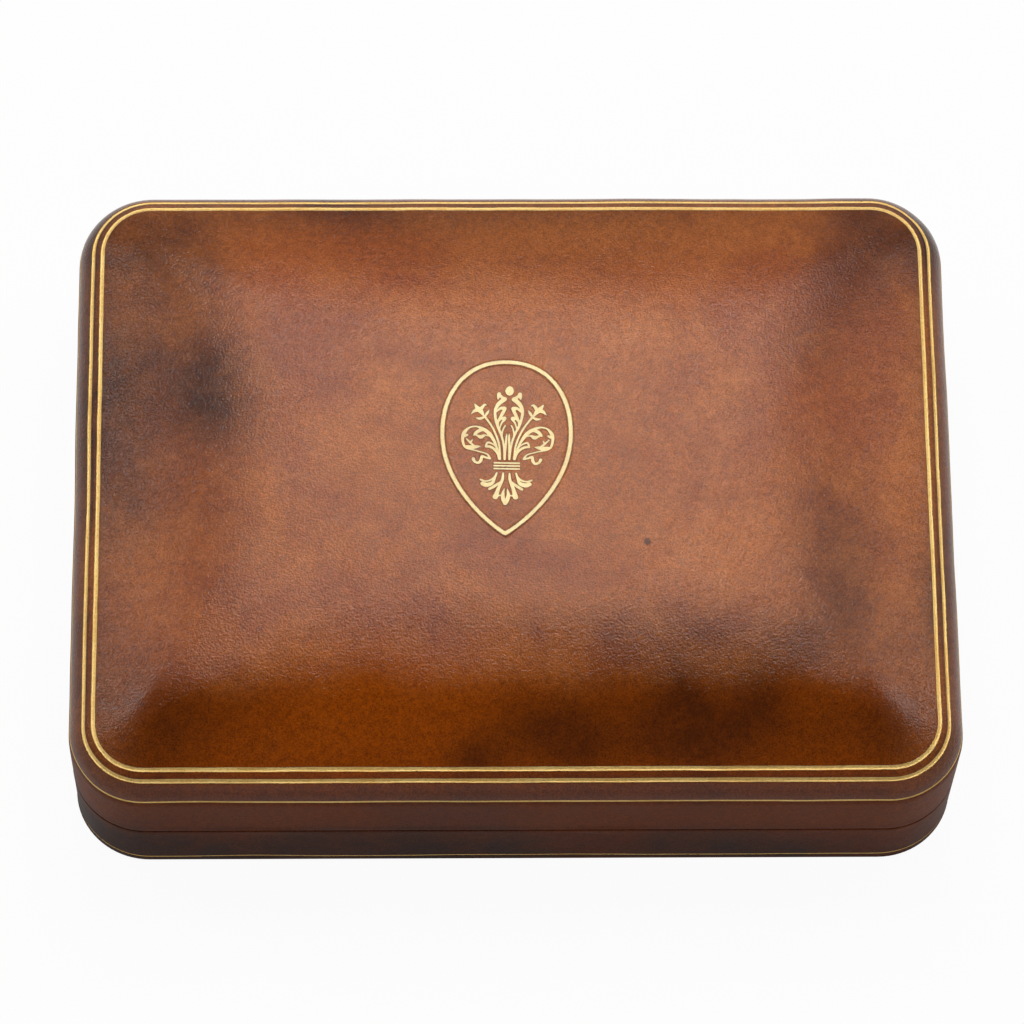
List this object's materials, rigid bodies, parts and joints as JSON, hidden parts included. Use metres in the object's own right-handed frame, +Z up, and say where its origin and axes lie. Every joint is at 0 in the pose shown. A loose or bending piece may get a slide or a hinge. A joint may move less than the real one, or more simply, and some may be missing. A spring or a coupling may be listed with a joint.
{
  "type": "leather box",
  "caption": "Low hinged box with rounded corners and a crowned, padded lid, covered in brown leather with gold-tooled lines over a wooden frame, and lined with suede.",
  "frame": {"origin": "middle of the underside, on the surface that the box stands on", "axes": "+X to the right seen from the front, +Y to the back (hinge side), +Z up"},
  "size_m": [0.2, 0.1534, 0.0528],
  "materials": {
    "leather": "burnished, satin",
    "gold_leaf": "gold leaf, satin",
    "wood": "planed poplar, unfinished",
    "suede": "suede, matt",
    "underside_suede": "suede, matt",
    "wadding": "cotton wadding, matt",
    "brass": "drawn brass, satin"
  },
  "bodies": {
    "base": {"base_front_rail": "wood", "base_back_rail": "wood", "base_left_rail": "wood", "base_right_rail": "wood", "base_mitre_keys": "wood", "base_floor_panel": "wood", "base_leather": "leather", "base_gold_line": "gold_leaf", "base_underside_sheet": "underside_suede", "base_side_lining": "suede", "base_floor_pad": "suede", "hinge_left_base_leaf": "brass", "hinge_right_base_leaf": "brass", "hinge_left_pin": "brass", "hinge_right_pin": "brass", "hinge_base_screws": "brass"},
    "lid": {"lid_front_rail": "wood", "lid_back_rail": "wood", "lid_left_rail": "wood", "lid_right_rail": "wood", "lid_mitre_keys": "wood", "lid_top_board": "wood", "lid_wadding": "wadding", "lid_leather": "leather", "lid_outer_fillet": "gold_leaf", "lid_inner_fillet": "gold_leaf", "lid_side_gold_line": "gold_leaf", "lid_drop_frame": "gold_leaf", "lid_lily": "gold_leaf", "lid_side_lining": "suede", "lid_ceiling_pad": "suede", "hinge_left_lid_leaf": "brass", "hinge_right_lid_leaf": "brass", "hinge_lid_screws": "brass"}
  },
  "joints": [
    {"name": "lid_hinge", "type": "hinge", "parent": "base", "child": "lid", "pos_m": [0, 0.076, 0.02], "axis": [-1, 0, 0], "range_deg": [0, 95]}
  ]
}
